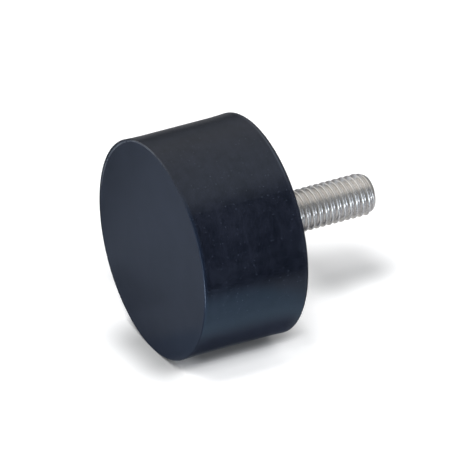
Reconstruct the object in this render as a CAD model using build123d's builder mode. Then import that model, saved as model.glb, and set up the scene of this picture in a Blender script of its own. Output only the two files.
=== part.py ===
from build123d import *
import os

# Cylindrical rubber buffer with a threaded stud on one end. The stud is pressed into a round steel
# plate, and both go into the mould before the rubber, which then fills the space around them. The
# buffer stands on the rubber face that takes the blow. The origin is the centre of that face, and
# +Z points along the stud. Sizes are in millimetres.

# Rubber
waist_diameter = 40.4
rim_flare = 0.15            # how far the side swells out at each end, on the radius
flare_length = 4.5          # from an end to where the swelling starts
body_height = 20.9          # from the free face to the mounting face
free_edge_radius = 0.15
mounting_edge_radius = 0.3
rubber_skin = 1.0           # thickness of rubber over the rim of the plate

# Plate, blanked from sheet and flush with the rubber at the mounting face
plate_thickness = 2.0
plate_bonded_chamfer = 0.6  # the rim's edge inside the rubber, which would cut it if left sharp
plate_open_chamfer = 0.2    # the rim's edge at the mounting face, with its burr taken off

# Stud with a standard 8 mm thread
thread_diameter = 7.8       # across the crests of the rolled thread
neck_diameter = 7.1         # the blank that the thread is rolled on
neck_length = 1.2           # from the mounting face to the run-out of the thread
run_out_length = 0.4        # cone between the neck and the thread
stud_length = 22.9          # from the mounting face to the tip
tip_diameter = 6.4
tip_cone_length = 1.3
tip_edge_radius = 0.25

# Serrated collar, which is pressed into the plate and keeps the stud from turning
collar_diameter = 9.4       # across the crests of the teeth
tooth_depth = 0.4
tooth_count = 24

# Flat head, buried in the rubber, which keeps the stud from pulling out of the plate
head_diameter = 14.0
head_thickness = 1.8
head_chamfer = 0.5

# Levels up the Z axis
mounting_face = body_height
bonded_face = mounting_face - plate_thickness
head_bottom = bonded_face - head_thickness
thread_bottom = mounting_face + neck_length
tip_top = mounting_face + stud_length
thread_top = tip_top - tip_cone_length

# Radii
waist_radius = waist_diameter / 2
rim_radius = waist_radius + rim_flare
plate_radius = waist_radius - rubber_skin
thread_radius = thread_diameter / 2
neck_radius = neck_diameter / 2
tip_radius = tip_diameter / 2
collar_radius = collar_diameter / 2
tooth_root_radius = collar_radius - tooth_depth
head_radius = head_diameter / 2
half_tooth_angle = 180 / tooth_count


# Toothed section of the collar, which the teeth press into the bore of the plate
with BuildSketch(Plane.XY.offset(bonded_face)) as collar_section:
    with BuildLine():
        Polyline(
            *[
                Vector(tooth_root_radius if step % 2 else collar_radius, 0).rotate(
                    Axis.Z, step * half_tooth_angle
                )
                for step in range(2 * tooth_count)
            ],
            close=True,
        )
    make_face()


# Steel plate with its bore
with BuildPart() as end_plate:
    with BuildSketch(Plane.XY.offset(bonded_face)):
        Circle(plate_radius)
    extrude(amount=plate_thickness)
    rims = end_plate.edges().group_by(Axis.Z)
    chamfer(rims[0], plate_bonded_chamfer)
    chamfer(rims[-1], plate_open_chamfer)
    extrude(collar_section.sketch, plate_thickness, mode=Mode.SUBTRACT)

end_plate.part.label = "end_plate"


# Stud: one upset and rolled piece, turned about the Z axis from its half section
with BuildPart() as threaded_stud:
    with BuildSketch(Plane.XZ):
        with BuildLine():
            Polyline(
                (0, head_bottom),
                (head_radius, head_bottom),
                (head_radius, bonded_face),
                (neck_radius, bonded_face),
                (neck_radius, thread_bottom),
                (thread_radius, thread_bottom + run_out_length),
                (thread_radius, thread_top),
                (tip_radius, tip_top),
                (0, tip_top),
                close=True,
            )
        make_face()
    revolve(axis=Axis.Z)
    rings = threaded_stud.edges().filter_by(GeomType.CIRCLE).group_by(Axis.Z)
    chamfer(rings[0], head_chamfer)
    fillet(rings[-1], tip_edge_radius)
    extrude(collar_section.sketch, plate_thickness)

threaded_stud.part.label = "threaded_stud"


# Rubber cylinder with a slight waist, moulded around the plate and the head of the stud
with BuildPart() as rubber_body:
    with BuildSketch(Plane.XZ) as half_section:
        with BuildLine():
            lower_flare = TangentArc(
                (waist_radius, flare_length),
                (rim_radius, 0),
                tangent=(0, -1),
            )
            upper_flare = TangentArc(
                (waist_radius, body_height - flare_length),
                (rim_radius, body_height),
                tangent=(0, 1),
            )
            Line(lower_flare @ 0, upper_flare @ 0)
            Polyline(
                lower_flare @ 1,
                (0, 0),
                (0, body_height),
                upper_flare @ 1,
            )
        make_face()
        for height, edge_radius in (
            (0, free_edge_radius),
            (body_height, mounting_edge_radius),
        ):
            corner = half_section.vertices().sort_by_distance((rim_radius, height))[0]
            fillet(corner, edge_radius)
    revolve(axis=Axis.Z)
    add(end_plate.part, mode=Mode.SUBTRACT)
    add(threaded_stud.part, mode=Mode.SUBTRACT)

rubber_body.part.label = "rubber_body"


os.makedirs("parts", exist_ok=True)
export_step(rubber_body.part, "parts/rubber_body.step")
export_step(end_plate.part, "parts/end_plate.step")
export_step(threaded_stud.part, "parts/threaded_stud.step")
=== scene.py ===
import math

import bpy
import numpy as np
from mathutils import Matrix, Vector


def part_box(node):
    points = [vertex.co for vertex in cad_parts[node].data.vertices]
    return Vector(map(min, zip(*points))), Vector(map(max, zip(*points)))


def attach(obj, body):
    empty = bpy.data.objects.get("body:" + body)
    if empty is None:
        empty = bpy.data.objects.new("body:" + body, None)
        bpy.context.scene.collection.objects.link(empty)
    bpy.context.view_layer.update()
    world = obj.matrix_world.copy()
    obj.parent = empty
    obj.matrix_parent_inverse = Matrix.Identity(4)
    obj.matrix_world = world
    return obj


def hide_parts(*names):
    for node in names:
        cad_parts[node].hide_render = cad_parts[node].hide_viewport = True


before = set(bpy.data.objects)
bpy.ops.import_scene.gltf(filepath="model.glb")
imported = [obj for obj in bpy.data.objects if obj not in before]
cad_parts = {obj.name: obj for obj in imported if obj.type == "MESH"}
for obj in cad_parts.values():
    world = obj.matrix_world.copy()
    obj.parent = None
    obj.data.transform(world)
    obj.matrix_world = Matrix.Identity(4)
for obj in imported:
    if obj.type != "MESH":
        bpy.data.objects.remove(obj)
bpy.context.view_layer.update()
mm = 0.001                  # the scene is in metres
fullTurn = 2 * math.pi
white = (1, 1, 1)
black = (0, 0, 0)
noiseMiddle = 0.5           # the value that a noise swings about

# The buffer's own frame stands it on its free face, with the stud up along Z. The photo shows it
# lying on its round side. So the floor here is a plane that touches that side, square to upWay.
studWay = Vector((0, 0, 1))
upWay = Vector((1, -1, 0)).normalized()
frontWay = studWay.cross(upWay)     # level, and roughly towards the camera

bodyLow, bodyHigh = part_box("rubber_body")
studLow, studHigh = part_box("threaded_stud")
plateLow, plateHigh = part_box("end_plate")
bodyRadius = (bodyHigh.x - bodyLow.x) / 2
bodyHeight = bodyHigh.z - bodyLow.z
middle = studWay * (bodyHeight / 2)


# Shading written as sums and products

class Wire:
    # one output of a node; arithmetic on it adds the node that does it
    def __init__(self, tree, socket):
        self.tree = tree
        self.socket = socket

    def blend(self, operation, first, second):
        kinds = [w.socket.type for w in (first, second) if isinstance(w, Wire)]
        if "VECTOR" in kinds:
            inputs = {0: spread(first), 1: spread(second)}
            return self.tree.node("VectorMath", {"operation": operation}, inputs)
        return self.tree.reckon(operation, first, second)

    def __add__(self, other):
        return self.blend("ADD", self, other)

    def __radd__(self, other):
        return self.blend("ADD", other, self)

    def __sub__(self, other):
        return self.blend("SUBTRACT", self, other)

    def __rsub__(self, other):
        return self.blend("SUBTRACT", other, self)

    def __mul__(self, other):
        return self.blend("MULTIPLY", self, other)

    def __rmul__(self, other):
        return self.blend("MULTIPLY", other, self)

    def __truediv__(self, other):
        return self.blend("DIVIDE", self, other)


def spread(value):
    # a plain number on all three axes
    return (value, value, value) if isinstance(value, (int, float)) else value


def opaque(colour):
    # three plain numbers as an opaque colour; a wire stays as it is
    return (*colour, 1) if isinstance(colour, tuple) else colour


def find(sockets, key):
    # a socket by its place, or by its name among those in use, as Mix has several of each name
    if isinstance(key, int):
        return sockets[key]
    return next(s for s in sockets if s.name == key and s.enabled)


class Tree:
    # the nodes of one material, or of the world
    def __init__(self, owner):
        owner.use_nodes = True
        self.nodes = owner.node_tree.nodes
        self.links = owner.node_tree.links
        self.nodes.clear()

    def node(self, kind, settings=None, inputs=None, output=0):
        # a new node, whose inputs are wires or plain values, and one of its outputs
        made = self.nodes.new("ShaderNode" + kind)
        for name, value in (settings or {}).items():
            setattr(made, name, value)
        for key, value in (inputs or {}).items():
            socket = find(made.inputs, key)
            if isinstance(value, Wire):
                self.links.new(value.socket, socket)
            else:
                socket.default_value = value
        return Wire(self, find(made.outputs, output)) if made.outputs else None

    def reckon(self, operation, *values):
        # a sum on numbers, done by one Math node
        return self.node("Math", {"operation": operation}, dict(enumerate(values)))

    def axis(self, vector, name):
        return self.node("SeparateXYZ", {}, {0: vector}, name)

    def fromAxis(self, where):
        # distance from the Z axis
        return self.node("VectorMath", {"operation": "LENGTH"}, {0: where * (1, 1, 0)}, "Value")

    def aroundAxis(self, where):
        # angle round the Z axis, in radians
        return self.reckon("ARCTAN2", self.axis(where, "Y"), self.axis(where, "X"))

    def fade(self, value, start, full, least=0.0):
        # least at the start and 1 where full, with soft ends; either place may be the greater one
        return self.node(
            "MapRange", {"interpolation_type": "SMOOTHSTEP", "clamp": True},
            {"Value": value, "From Min": start, "From Max": full, "To Min": least, "To Max": 1.0})

    def mix(self, factor, first, second):
        inputs = {"Factor": factor, "A": opaque(first), "B": opaque(second)}
        return self.node("Mix", {"data_type": "RGBA"}, inputs, "Result")

    def noise(self, where, size, detail=2.0, rough=0.5):
        # cloudy noise with lumps of about this size, in metres
        return self.node(
            "TexNoise", {"noise_dimensions": "3D"},
            {"Vector": where, "Scale": 1 / size, "Detail": detail, "Roughness": rough})

    def bump(self, height, depth, strength=1.0, under=None):
        # relief in the shading, on top of another one where that is given
        inputs = {"Height": height, "Distance": depth, "Strength": strength}
        if under is not None:
            inputs["Normal"] = under
        return self.node("Bump", {}, inputs)

    def principled(self, inputs):
        # the whole shader of a piece
        shader = self.node("BsdfPrincipled", {}, inputs)
        self.node("OutputMaterial", {}, {"Surface": shader})


def measure(tree, vector, unit):
    # how far a vector reaches along the stud, towards the front and up
    reaches = {}
    for name, way in (("toStud", studWay), ("toFront", frontWay), ("toUp", upWay)):
        inputs = {0: vector, 1: tuple(way / unit)}
        reaches[name] = tree.node("VectorMath", {"operation": "DOT_PRODUCT"}, inputs, "Value")
    return reaches


def within(tree, places, region):
    # 1 inside a region and 0 outside it, with soft edges. On each of its ways a region has two
    # places, where it starts and where it is full. A third number is what is left of it before its
    # start. Four numbers are where it starts, where it is full from and to, and where it ends.
    share = 1.0
    for way, edges in region.items():
        if len(edges) == 4:
            share = share * tree.fade(places[way], edges[3], edges[2])
            edges = edges[:2]
        share = share * tree.fade(places[way], *edges)
    return share


def layered(tree, places, tone, layers):
    # plain colours laid over one another in turn, each over its region. A layer may have a share,
    # which is how strong it is, and layers of its own, which first go over its colour.
    for layer in layers.values():
        colour = layered(tree, places, layer["colour"], layer.get("layers", {}))
        strength = within(tree, places, layer["over"]) * layer.get("share", 1.0)
        tone = tree.mix(strength, tone, colour)
    return tone


def glowing(tree, places, lights):
    # brightness of several regions that give off light, added up
    return sum(within(tree, places, light["over"]) * light["glow"] for light in lights.values())


def newMaterial(name):
    material = bpy.data.materials.new(name)
    return material, Tree(material)


def dress(piece, material):
    piece.data.materials.clear()
    piece.data.materials.append(material)


# Rubber

rubber = {
    "colour": (0.0027, 0.0036, 0.0063),     # black with a blue cast
    "sheen": (0.74, 0.84, 1.0),             # cast of what it mirrors
    "ior": 1.56,
    "roughness": 0.2,

    # paler bloom that age brings to the surface, where three noises add up to enough
    "bloom": (0.0078, 0.0090, 0.0145),
    "bloomFrom": (0.34, 0.66),
    "cloudSize": 9 * mm,
    "cloudShare": 0.35,
    "cloudRoughness": 0.14,
    "mottleSize": 1.5 * mm,
    "mottleShare": 0.45,
    "mottleRoughness": 0.12,
    "flowSize": 1 * mm,
    "flowStretch": (0.12, 0.12, 1.6),       # draws that noise out into streaks round the rubber
    "flowShare": 0.2,

    # dust caught in the skin
    "speck": (0.032, 0.040, 0.053),
    "speckSpacing": 0.9 * mm,
    "speckEdge": (0.12, 0.04),              # as a share of the spacing
    "speckPick": (0.7, 1.0),                # only the places that draw a high number have a speck
    "sideDepth": 0.18 * mm,                 # a point counts as on the side if it lies no deeper

    # painted highlight: the rim of the free face is painted pale at the upper back, where the light
    # falls, and a very little at the front, broken up by noise and rougher there; the places in all
    # regions of the rubber are in mm, and toStud is the height over the free face
    "rim": (0.078, 0.083, 0.094),
    "rimOver": {"fromRim": (-0.25, 0, 0.128, 0.32), "toStud": (0.2, 0.12)},
    "rimInset": 0.1,                        # where fromRim starts, inside the greatest radius
    "rimDrift": 0.5,                        # and how much further in that is at the back
    "driftOver": {"toFront": (-4, -15)},
    "litRimOver": {"toFront": (9, -4), "toUp": (-1, 8)},
    "faintOver": {"toFront": (16.5, 19)},
    "faintShare": 0.02,
    "rimBreakupSize": 2.5 * mm,
    "rimBreakupFrom": (0.2, 0.6),
    "rimRoughness": 0.15,

    # painted highlight: a bluer pale band on the side next to that rim, low down at the front
    "frontRimHighlight": (0.0062, 0.0094, 0.0175),
    "frontRimHighlightOver": {"toStud": (0.9, 0.2), "toFront": (9, 15), "toUp": (-12, 0)},

    # pale line painted below the mounting edge as its highlight, faint towards the front, and the lip
    # above it, which is rougher
    "line": (0.026, 0.029, 0.036),
    "lineOver": {"belowTop": (0.38, 0.5, 0.7, 0.85), "toFront": (15, 9, 0.2)},
    "lineShare": 0.8,
    "lipOver": {"belowTop": (0.36, 0.24)},
    "lipRoughness": 0.35,

    # fine grain, over shallow waves of the skin that bend the reflections
    "grainSize": 0.35 * mm,
    "grainDepth": 0.006 * mm,
    "grainStrength": 0.35,
    "mottleRelief": 2.0,                    # how high the mottle stands, beside the grain
    "waveSize": 5 * mm,
    "waveDepth": 0.05 * mm,
}


def rubberSpecks(tree, where, onSide):
    # scattered round dots, on a sheet that is wrapped round the side and lies flat on both ends
    x, y, z = (tree.axis(where, name) for name in "XYZ")
    turned = tree.aroundAxis(where) * bodyRadius
    flat = tree.node("CombineXYZ", {}, {
        0: turned * onSide + x * (1 - onSide),
        1: z * onSide + y * (1 - onSide)})
    settings = {"feature": "F1", "voronoi_dimensions": "2D"}
    cells = {"Vector": flat, "Scale": 1 / rubber["speckSpacing"]}
    away = tree.node("TexVoronoi", settings, cells, "Distance")
    drawn = tree.node("SeparateColor", {}, {0: tree.node("TexVoronoi", settings, cells, "Color")})
    return tree.fade(away, *rubber["speckEdge"]) * tree.fade(drawn, *rubber["speckPick"])


def rubberMaterial():
    material, tree = newMaterial("mouldedRubber")
    where = tree.node("TexCoord", output="Object")
    places = measure(tree, where, mm)
    apart = tree.fromAxis(where)
    onSide = tree.reckon("GREATER_THAN", apart, bodyRadius - rubber["sideDepth"])
    drift = within(tree, places, rubber["driftOver"]) * rubber["rimDrift"]
    places["fromRim"] = (bodyRadius - apart) / mm - rubber["rimInset"] - drift
    places["belowTop"] = bodyHeight / mm - places["toStud"]

    clouds = tree.noise(where, rubber["cloudSize"], detail=4, rough=0.6)
    mottle = tree.noise(where, rubber["mottleSize"], detail=4, rough=0.7)
    flow = tree.noise(where * rubber["flowStretch"], rubber["flowSize"], detail=3, rough=0.6)
    tone = clouds * rubber["cloudShare"] + mottle * rubber["mottleShare"] + flow * rubber["flowShare"]
    colour = tree.mix(tree.fade(tone, *rubber["bloomFrom"]), rubber["colour"], rubber["bloom"])
    colour = tree.mix(rubberSpecks(tree, where, onSide), colour, rubber["speck"])

    # painted highlight along the rim of the free face, strongest at the upper back where the light
    # falls
    litRimPlaces = within(tree, places, rubber["litRimOver"])
    litRimPlaces = litRimPlaces + within(tree, places, rubber["faintOver"]) * rubber["faintShare"]
    rimBreakup = tree.noise(where, rubber["rimBreakupSize"], detail=5, rough=0.75)
    rimHighlightMask = within(tree, places, rubber["rimOver"]) * litRimPlaces * tree.fade(rimBreakup, *rubber["rimBreakupFrom"])
    colour = tree.mix(rimHighlightMask, colour, rubber["rim"])
    # painted bluish highlight on the side beside the free rim, low at the front
    frontRimHighlight = within(tree, places, rubber["frontRimHighlightOver"]) * onSide
    colour = tree.mix(frontRimHighlight, colour, rubber["frontRimHighlight"])
    # painted highlight below the mounting edge, faint towards the front
    line = within(tree, places, rubber["lineOver"]) * onSide
    colour = tree.mix(line * rubber["lineShare"], colour, rubber["line"])
    lip = within(tree, places, rubber["lipOver"]) * onSide

    roughness = rubber["roughness"] + (clouds - noiseMiddle) * rubber["cloudRoughness"]
    roughness = roughness + (mottle - noiseMiddle) * rubber["mottleRoughness"]
    roughness = roughness + rimHighlightMask * rubber["rimRoughness"] + lip * rubber["lipRoughness"]
    grain = tree.noise(where, rubber["grainSize"], detail=3, rough=0.65)
    relief = grain + mottle * rubber["mottleRelief"] + flow
    waves = tree.bump(tree.noise(where, rubber["waveSize"], detail=1), rubber["waveDepth"])
    tree.principled({
        "Base Color": colour,
        "Roughness": roughness,
        "IOR": rubber["ior"],
        "Specular Tint": opaque(rubber["sheen"]),
        "Normal": tree.bump(relief, rubber["grainDepth"], rubber["grainStrength"], waves)})
    return material


print("rubber")
dress(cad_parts["rubber_body"], rubberMaterial())


# End plate

plate = {
    "colour": (0.72, 0.70, 0.67),
    "darkShare": 0.78,                      # how bright the dark lines of the grain are beside that
    "roughness": 0.34,
    "grainLength": 6 * mm,
    "grainWidth": 0.06 * mm,
    "grainDepth": 0.004 * mm,
    "grainStrength": 0.5,
    "grainRoughness": 0.16,
    "cloudSize": 7 * mm,
    "cloudRoughness": 0.12,

    # rubber that crept over the rim in the mould
    "filmColour": (0.018, 0.021, 0.028),
    "filmWidth": 0.5 * mm,
    "filmEdge": 0.12 * mm,                  # half of the width over which it thins out
    "filmWander": 0.8 * mm,                 # how far its edge wanders in and out
    "wanderSize": 2.6 * mm,
    "filmRoughness": 0.6,
    "filmRelief": 2.0,                      # how high it stands, beside the grain
}


def plateMaterial():
    material, tree = newMaterial("plateSteel")
    where = tree.node("TexCoord", output="Object")
    length, width = plate["grainLength"], plate["grainWidth"]
    grain = tree.noise(where * (1 / length, 1 / width, 1 / length), 1, detail=3, rough=0.6)
    clouds = tree.noise(where, plate["cloudSize"], detail=3)
    wander = tree.noise(where, plate["wanderSize"], detail=1.5) - noiseMiddle
    edge = plateHigh.x - plate["filmWidth"]
    apart = tree.fromAxis(where) + wander * plate["filmWander"]
    film = tree.fade(apart, edge - plate["filmEdge"], edge + plate["filmEdge"])

    dark = tuple(part * plate["darkShare"] for part in plate["colour"])
    steel = tree.mix(grain, dark, plate["colour"])
    roughness = plate["roughness"] + (grain - noiseMiddle) * plate["grainRoughness"]
    roughness = roughness + (clouds - noiseMiddle) * plate["cloudRoughness"]
    relief = grain + film * plate["filmRelief"]
    tree.principled({
        "Base Color": tree.mix(film, steel, plate["filmColour"]),
        "Metallic": 1 - film,
        "Roughness": roughness * (1 - film) + film * plate["filmRoughness"],
        "Normal": tree.bump(relief, plate["grainDepth"], plate["grainStrength"])})
    return material


print("plate")
dress(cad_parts["end_plate"], plateMaterial())


# Stud with its rolled thread

stud = {
    # thread
    "pitch": 1.25 * mm,
    "crestShift": 0.166 * mm,               # how far up the crests lie, which turns the thread
    "crestRadius": 3.9 * mm,
    "pitchRadius": 3.594 * mm,
    "rootRadius": 3.235 * mm,
    "crestRounding": 0.19 * mm,
    "rootRounding": 0.18 * mm,
    "flankAngle": 30,                       # degrees between a flank and the plane square to the stud
    "neckRadius": 3.55 * mm,
    "neckLength": 1.2 * mm,
    "runOut": 1.6 * mm,                     # length over which the thread grows out of the neck

    # tip
    "tipRadius": 3.2 * mm,
    "tipConeLength": 1.3 * mm,
    "tipRounding": 0.25 * mm,
    "tipDish": 0.12 * mm,

    # collar in the plate, and head in the rubber
    "collarRadius": 4.7 * mm,
    "toothDepth": 0.4 * mm,
    "teeth": 24,
    "headRadius": 7.0 * mm,
    "headChamfer": 0.5 * mm,

    # fineness of the mesh
    "aroundSteps": 144,
    "rowsPerPitch": 20,

    # steel
    "colour": (0.95, 0.92, 0.88),
    "metallic": 0.905,                      # the rolled skin scatters some of the light
    "roughness": 0.215,
    "rootShadeAndDirtColour": (0.63, 0.615, 0.605),     # greyer towards the roots of the thread: painted shade of the grooves, with dirt
    "rootReach": 0.35 * mm,
    "rootShare": 0.85,
    "speckleSize": 0.19 * mm,               # fine dark grain
    "speckleColour": (0.58, 0.55, 0.52),
    "speckleFrom": (0.42, 0.6),
    "speckleShare": 0.5,
    "speckleRoughness": 0.2,
    "speckleDepth": 0.009 * mm,
    "speckleStrength": 0.5,
    "cloudSize": 1.8 * mm,                  # dull clouds
    "cloudColour": (0.5, 0.47, 0.43),
    "cloudFrom": (0.4, 0.8),
    "cloudShare": 0.25,
    "cloudRoughness": 0.12,
    "streakDepth": 0.006 * mm,              # lines that the rolling dies leave along the thread
    "streakLength": 4 * mm,
    "streaksPerPitch": 11.0,
}


def softLess(a, b, width):
    # the smaller of two radii, rounded where they cross
    gap = np.clip(0.5 + 0.5 * (b - a) / width, 0, 1)
    return b * (1 - gap) + a * gap - width * gap * (1 - gap)


def softMore(a, b, width):
    return -softLess(-a, -b, width)


def threadRadii(height, angles):
    # radius of the endless thread at a height, for each angle
    turns = (height - stud["crestShift"]) / stud["pitch"] - angles / fullTurn
    offCrest = np.abs((turns % 1) - 0.5) * stud["pitch"]
    rise = 1 / math.tan(math.radians(stud["flankAngle"]))
    flank = stud["pitchRadius"] + (stud["pitch"] / 4 - offCrest) * rise
    crested = softLess(flank, np.full_like(flank, stud["crestRadius"]), stud["crestRounding"])
    return softMore(crested, np.full_like(flank, stud["rootRadius"]), stud["rootRounding"])


def tipLimit(toTip):
    # greatest radius at a distance from the tip, which is a cone with a rounded edge
    rounding = stud["tipRounding"]
    slope = (stud["crestRadius"] - stud["tipRadius"]) / stud["tipConeLength"]
    limit = stud["tipRadius"] + toTip * slope
    if toTip < rounding:
        limit -= rounding - math.sqrt(max(0, rounding ** 2 - (rounding - toTip) ** 2))
    return limit


def headRows(angles):
    # head, collar and neck, as rows of a height and a radius for each angle
    plain = np.ones_like(angles)
    tooth = np.abs((angles * stud["teeth"] / fullTurn) % 1 - 0.5) * 2
    toothed = stud["collarRadius"] - stud["toothDepth"] * (1 - tooth)
    return [
        (studLow.z, plain * (stud["headRadius"] - stud["headChamfer"])),
        (studLow.z + stud["headChamfer"], plain * stud["headRadius"]),
        (plateLow.z, plain * stud["headRadius"]),
        (plateLow.z, toothed),
        (plateHigh.z, toothed),
        (plateHigh.z, plain * stud["neckRadius"]),
    ]


def threadRows(angles):
    # thread, from its run-out in the neck up to the tip
    start = plateHigh.z + stud["neckLength"] - stud["runOut"] / 2
    reach = studHigh.z - start
    count = round(reach / stud["pitch"] * stud["rowsPerPitch"])
    rows = []
    for index in range(count + 1):
        height = start + reach * index / count
        grown = min(1, (height - start) / stud["runOut"])
        grown = grown * grown * (3 - 2 * grown)     # eased at both ends
        radii = stud["neckRadius"] + (threadRadii(height, angles) - stud["neckRadius"]) * grown
        rows.append((height, np.minimum(radii, tipLimit(studHigh.z - height))))
    return rows


def studMesh():
    around = stud["aroundSteps"]
    angles = np.arange(around) / around * fullTurn
    hardRows = headRows(angles)
    rows = hardRows + threadRows(angles)
    points = [(0, 0, rows[0][0])]
    for height, radii in rows:
        points += [(r * math.cos(a), r * math.sin(a), height) for r, a in zip(radii, angles)]
    points.append((0, 0, rows[-1][0] - stud["tipDish"]))
    faces = []
    lastRow = 1 + (len(rows) - 1) * around
    for i in range(around):
        j = (i + 1) % around
        faces.append((0, 1 + j, 1 + i))
        faces.append((lastRow + i, lastRow + j, len(points) - 1))
        for low in range(1, lastRow, around):
            high = low + around
            faces.append((low + i, low + j, high + j, high + i))
    mesh = bpy.data.meshes.new("stud_thread")
    mesh.from_pydata(points, [], faces)
    mesh.validate()
    mesh.shade_smooth()

    # the head, the collar and the neck keep a hard edge along each of their rows
    for edge in mesh.edges:
        first, second = ((point - 1) // around for point in edge.vertices)      # rows of its ends
        edge.use_edge_sharp = 0 <= first == second < len(hardRows)
    return mesh


def studMaterial():
    material, tree = newMaterial("studSteel")
    where = tree.node("TexCoord", output="Object")
    # painted shade and dirt, darker towards the roots of the thread
    root = tree.fade(tree.fromAxis(where), stud["rootRadius"] + stud["rootReach"], stud["rootRadius"])
    clouds = tree.noise(where, stud["cloudSize"], detail=3)
    speckle = tree.noise(where, stud["speckleSize"], detail=2)
    speckled = tree.fade(speckle, *stud["speckleFrom"]) * stud["speckleShare"]
    clouded = tree.fade(clouds, *stud["cloudFrom"]) * stud["cloudShare"]
    colour = tree.mix(root * stud["rootShare"], stud["colour"], stud["rootShadeAndDirtColour"])
    colour = tree.mix(speckled, colour, stud["speckleColour"])
    colour = tree.mix(clouded, colour, stud["cloudColour"])
    roughness = stud["roughness"] + (clouds - noiseMiddle) * stud["cloudRoughness"]
    roughness = roughness + (speckle - noiseMiddle) * stud["speckleRoughness"]

    height = tree.axis(where, "Z") - stud["crestShift"]
    turns = height / stud["pitch"] - tree.aroundAxis(where) / fullTurn
    streaks = tree.node("TexNoise", {"noise_dimensions": "4D"}, {
        "Vector": where * (1 / stud["streakLength"]),
        "W": tree.reckon("FRACT", turns) * stud["streaksPerPitch"],
        "Scale": 1.0, "Detail": 2.0, "Roughness": 0.6})
    fine = tree.bump(speckle, stud["speckleDepth"], stud["speckleStrength"])
    tree.principled({
        "Base Color": colour,
        "Metallic": stud["metallic"],
        "Roughness": roughness,
        "Normal": tree.bump(streaks, stud["streakDepth"], under=fine)})
    return material


print("stud")
studPiece = bpy.data.objects.new("rolled_stud", studMesh())
bpy.context.scene.collection.objects.link(studPiece)
dress(studPiece, studMaterial())
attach(studPiece, "root")
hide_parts("threaded_stud")


# Camera

shot = {
    "elevation": 30.24,             # degrees that the camera looks down on the floor
    "turn": 27.89,                  # degrees that the stud points away from the picture's plane
    "distance": 2.0,
    "width": 450,                   # of the picture, in pixels
    "pixelsPerMetre": 5604.0,       # at the middle of the rubber
    "bodyAt": (203.43, 236.28),     # pixel where the middle of the rubber lies
    "sensorWidth": 36.0,
    "nearest": 0.05,
    "farthest": 20.0,
}


def makeCamera():
    lift, turn = math.radians(shot["elevation"]), math.radians(shot["turn"])
    right = studWay * math.cos(turn) + frontWay * math.sin(turn)
    ahead = studWay * math.sin(turn) - frontWay * math.cos(turn)    # level
    forward = ahead * math.cos(lift) - upWay * math.sin(lift)
    upright = right.cross(forward)
    offRight, offDown = [(shot["width"] / 2 - p) / shot["pixelsPerMetre"] for p in shot["bodyAt"]]
    aim = middle + right * offRight - upright * offDown
    data = bpy.data.cameras.new("camera")
    data.sensor_width = shot["sensorWidth"]
    data.lens = shot["sensorWidth"] * shot["pixelsPerMetre"] * shot["distance"] / shot["width"]
    data.clip_start = shot["nearest"]
    data.clip_end = shot["farthest"]
    camera = bpy.data.objects.new("camera", data)
    axes = Matrix((right, upright, -forward)).transposed().to_4x4()
    camera.matrix_world = Matrix.Translation(aim - forward * shot["distance"]) @ axes
    bpy.context.scene.collection.objects.link(camera)
    bpy.context.scene.camera = camera


print("camera")
makeCamera()


# Floor

coolTint = (0.74, 0.85, 1.0)    # cast of the light on the camera's side

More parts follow.
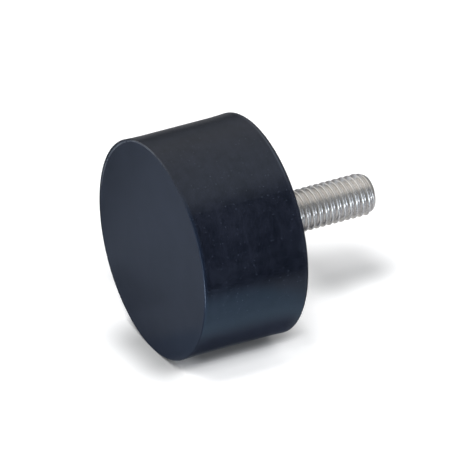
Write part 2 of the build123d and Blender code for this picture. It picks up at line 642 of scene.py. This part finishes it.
paleFloor = {
    "size": 6.0,
    "colour": (0.97, 0.97, 0.97),

    # Regions of the floor are in mm along the stud and towards the front, from the point below the
    # middle of the free face. Two more ways, pastCorner and pastLeft, slant across those.
    "cornerSlant": 0.3,
    "leftSlant": 1.2,

    # painted shadows: what the camera sees darker than the object's own shadows make it
    "shades": {
        "offFace": {
            "colour": black, "share": 0.60,
            "over": {"toStud": (-10, 0.2, 0.2, 2.2), "toFront": (-15, -2, 5, 18)}},
        "alongFoot": {
            "colour": black, "share": 0.53,
            "over": {"toStud": (3, 7, 23, 29), "toFront": (-2, 2, 7, 10)}},
        "underStud": {
            "colour": black, "share": 0.33,
            "over": {"toStud": (30, 40, 46, 58), "toFront": (-24, -12, -6, 2)}},
    },

    # and painted light: what it sees brighter, where the floor glows
    "lifts": {
        "beforeFoot": {
            "glow": 0.25,
            "over": {"toStud": (-4, 3, 20, 26), "toFront": (8, 11, 12, 16)}},
        "besideRim": {
            "glow": 0.15,
            "over": {"toStud": (21, 25, 32, 41), "toFront": (-30, -14, 12, 16)}},
        "belowFace": {
            "glow": 0.27,
            "over": {"toStud": (-0.5, 1.5, 4, 7), "toFront": (-27, -20, -12.5, -9.5)}},
    },

    # painted reflections and shade: what the pieces mirror, and what lights them from below
    "bounceColour": (0.75, 0.74, 0.72),
    "bounceLayers": {
        "front": {
            "colour": (0.30, 0.415, 0.515),
            "over": {"toFront": (4, 22)}},
        "beforeStud": {
            "colour": (0.325, 0.33, 0.35),
            "over": {"toStud": (24, 31), "toFront": (-26, 8)}},
        "shadeOfFoot": {
            "colour": (0.100, 0.115, 0.165),
            "over": {"toStud": (27, 22), "toFront": (24, 15)}},
        "contact": {
            "colour": (0.40, 0.42, 0.46),       # painted shade right beside the foot, and less towards the stud
            "over": {"toStud": (21, 12, 0.3), "toFront": (4, 7, 8, 10.5)}},
        "left": {
            "colour": (0.198, 0.228, 0.285),    # painted darker reflection off the free face
            "over": {"toStud": (5, -8)},
            "layers": {
                "back": {
                    "colour": black, "share": 0.38,
                    "over": {"pastLeft": (-22, -33)}},
                "nearBack": {
                    "colour": black, "share": 0.25,
                    "over": {"toStud": (-12, -8, -2, 2), "toFront": (-34, -24, -16, -10)}},
                "nearFoot": {
                    "colour": (0.14, 0.178, 0.25),
                    "over": {"toStud": (-13, -9, -1, 2), "toFront": (-5, 0, 6, 9)}}}},
        "paintedDarkFront": {
            "colour": black,                    # painted dark, from here towards the camera
            "over": {"toFront": (35, 70)}},
        "far": {
            "colour": (0.145, 0.148, 0.155),    # painted dark grey, far behind the pieces
            "over": {"toFront": (-85, -110)}},
        "behind": {
            "colour": (0.03, 0.03, 0.03),       # painted shade that darkens the outline of the pieces
            "over": {"toStud": (-6, 6), "toFront": (-110, -85, -38, -28)}},
        "corner": {
            "colour": (0.9, 0.93, 0.97),        # painted pale reflection, in front and beyond the free face
            "over": {"toFront": (44, 54), "pastCorner": (-4, -12)}},
    },

    # painted light: a patch of the floor in that corner that glows to all but the camera, which the
    # thread mirrors
    "paintedGlows": {
        "corner": {
            "glow": 3.5,
            "over": {"toFront": (44, 54, 600, 900), "pastCorner": (-4, -12)}},
    },
}


def placeAt(name, data, place, facing):
    # an object whose -Z looks along facing, with its X along the stud
    x = (studWay - facing * studWay.dot(facing)).normalized()
    z = -facing.normalized()
    y = z.cross(x)
    made = bpy.data.objects.new(name, data)
    made.matrix_world = Matrix.Translation(place) @ Matrix((x, y, z)).transposed().to_4x4()
    bpy.context.scene.collection.objects.link(made)
    return made


def floorMaterial():
    material, tree = newMaterial("paleFloor")
    seen = tree.node("LightPath", output="Is Camera Ray")
    places = measure(tree, tree.node("NewGeometry", output="Position"), mm)
    places["pastCorner"] = places["toStud"] - places["toFront"] * paleFloor["cornerSlant"]
    places["pastLeft"] = places["toFront"] - places["toStud"] * paleFloor["leftSlant"]
    shown = layered(tree, places, paleFloor["colour"], paleFloor["shades"])
    mirrored = layered(tree, places, paleFloor["bounceColour"], paleFloor["bounceLayers"])
    lifts = glowing(tree, places, paleFloor["lifts"]) * seen
    # painted light: floor patches that glow only to what the pieces mirror
    paintedGlows = glowing(tree, places, paleFloor["paintedGlows"]) * (1 - seen)
    diffuse = tree.node("BsdfDiffuse", {}, {"Color": tree.mix(seen, mirrored, shown)})
    glow = tree.node("Emission", {}, {
        "Color": tree.mix(seen, coolTint, white), "Strength": lifts + paintedGlows})
    lit = tree.node("AddShader", {}, {0: diffuse, 1: glow})
    clear = tree.node("BsdfTransparent")
    fromBelow = tree.node("NewGeometry", output="Backfacing")
    shader = tree.node("MixShader", {}, {0: fromBelow, 1: lit, 2: clear})
    tree.node("OutputMaterial", {}, {"Surface": shader})
    return material


def makeFloor():
    half = paleFloor["size"] / 2
    corners = [(-half, -half, 0), (half, -half, 0), (half, half, 0), (-half, half, 0)]
    mesh = bpy.data.meshes.new("floor")
    mesh.from_pydata(corners, [], [(0, 1, 2, 3)])
    floor = placeAt("floor", mesh, middle - upWay * bodyRadius, -upWay)
    dress(floor, floorMaterial())


print("floor")
makeFloor()


# Lights

softboxes = {
    "distance": 1.0,

    # tilt towards the camera's side and lean towards the stud, in degrees from straight up, the
    # angle that the box fills, and how bright it makes a white card that faces it
    "boxes": {
        "keySoftbox": {"tilt": 18.5, "lean": -20, "angle": 22, "level": 0.62},
        "frontSoftbox": {"tilt": 50, "lean": 0, "angle": 40, "level": 0.40},
        "leftSoftbox": {"tilt": 50, "lean": -30, "angle": 40, "level": 0.25},
        "rightSoftbox": {"tilt": 30, "lean": 35, "angle": 40, "level": 0.15},
    },
}

sky = {
    # The sky is the tent round the pieces. Its regions are given by how far a direction points
    # along the stud, towards the front and up, from -1 to 1.
    "high": 0.715,                              # brightness straight above the pieces
    "low": 0.075,                               # and level with them
    "over": {"toFront": (0.58, 0.2, 0.155)},    # so it is dimmer on the camera's side
    "glows": {
        "card": {
            "glow": 1.85,                       # pale card on that side, off the free face
            "over": {"toStud": (-0.02, -0.16), "toFront": (0.35, 0.6), "toUp": (0.66, 0.24)}},
        "wall": {
            "glow": 0.31,                       # pale wall beyond the free face
            "over": {"toStud": (0.0, -0.35), "toFront": (0.75, 0.45)}},
    },
    "tints": {
        "lowBehind": {
            "colour": (0.94, 1.0, 1.1),
            "over": {"toFront": (-0.3, -0.8), "toUp": (0.55, 0.15)}},
        "front": {
            "colour": coolTint,
            "over": {"toFront": (0.35, 0.6)}},
    },
}


def makeSoftboxes():
    distance = softboxes["distance"]
    for name, box in softboxes["boxes"].items():
        tilt, lean = math.radians(box["tilt"]), math.radians(box["lean"])
        across = upWay * math.cos(tilt) + frontWay * math.sin(tilt)
        way = across * math.cos(lean) + studWay * math.sin(lean)
        data = bpy.data.lights.new(name, "AREA")
        data.shape = "SQUARE"
        data.size = 2 * distance * math.tan(math.radians(box["angle"] / 2))
        data.energy = box["level"] * (math.pi * distance) ** 2
        placed = placeAt(name, data, middle + way * distance, -way)
        placed.visible_glossy = False       # the pieces mirror the sky and the floor alone


def makeWorld():
    world = bpy.data.worlds.new("studio")
    bpy.context.scene.world = world
    tree = Tree(world)
    ways = measure(tree, tree.node("TexCoord", output="Generated"), 1)
    seen = tree.node("LightPath", output="Is Camera Ray")
    tent = sky["low"] + (sky["high"] - sky["low"]) * ways["toUp"]
    tent = tree.reckon("MAXIMUM", tent * within(tree, ways, sky["over"]), 0.0)
    glow = tent + glowing(tree, ways, sky["glows"])
    tint = layered(tree, ways, white, sky["tints"])
    background = tree.node("Background", {}, {
        "Color": tree.mix(seen, tint, white), "Strength": glow * (1 - seen) + seen})
    tree.node("OutputWorld", {}, {"Surface": background})


print("lights")
makeSoftboxes()
makeWorld()
bpy.context.scene.view_settings.view_transform = "Standard"
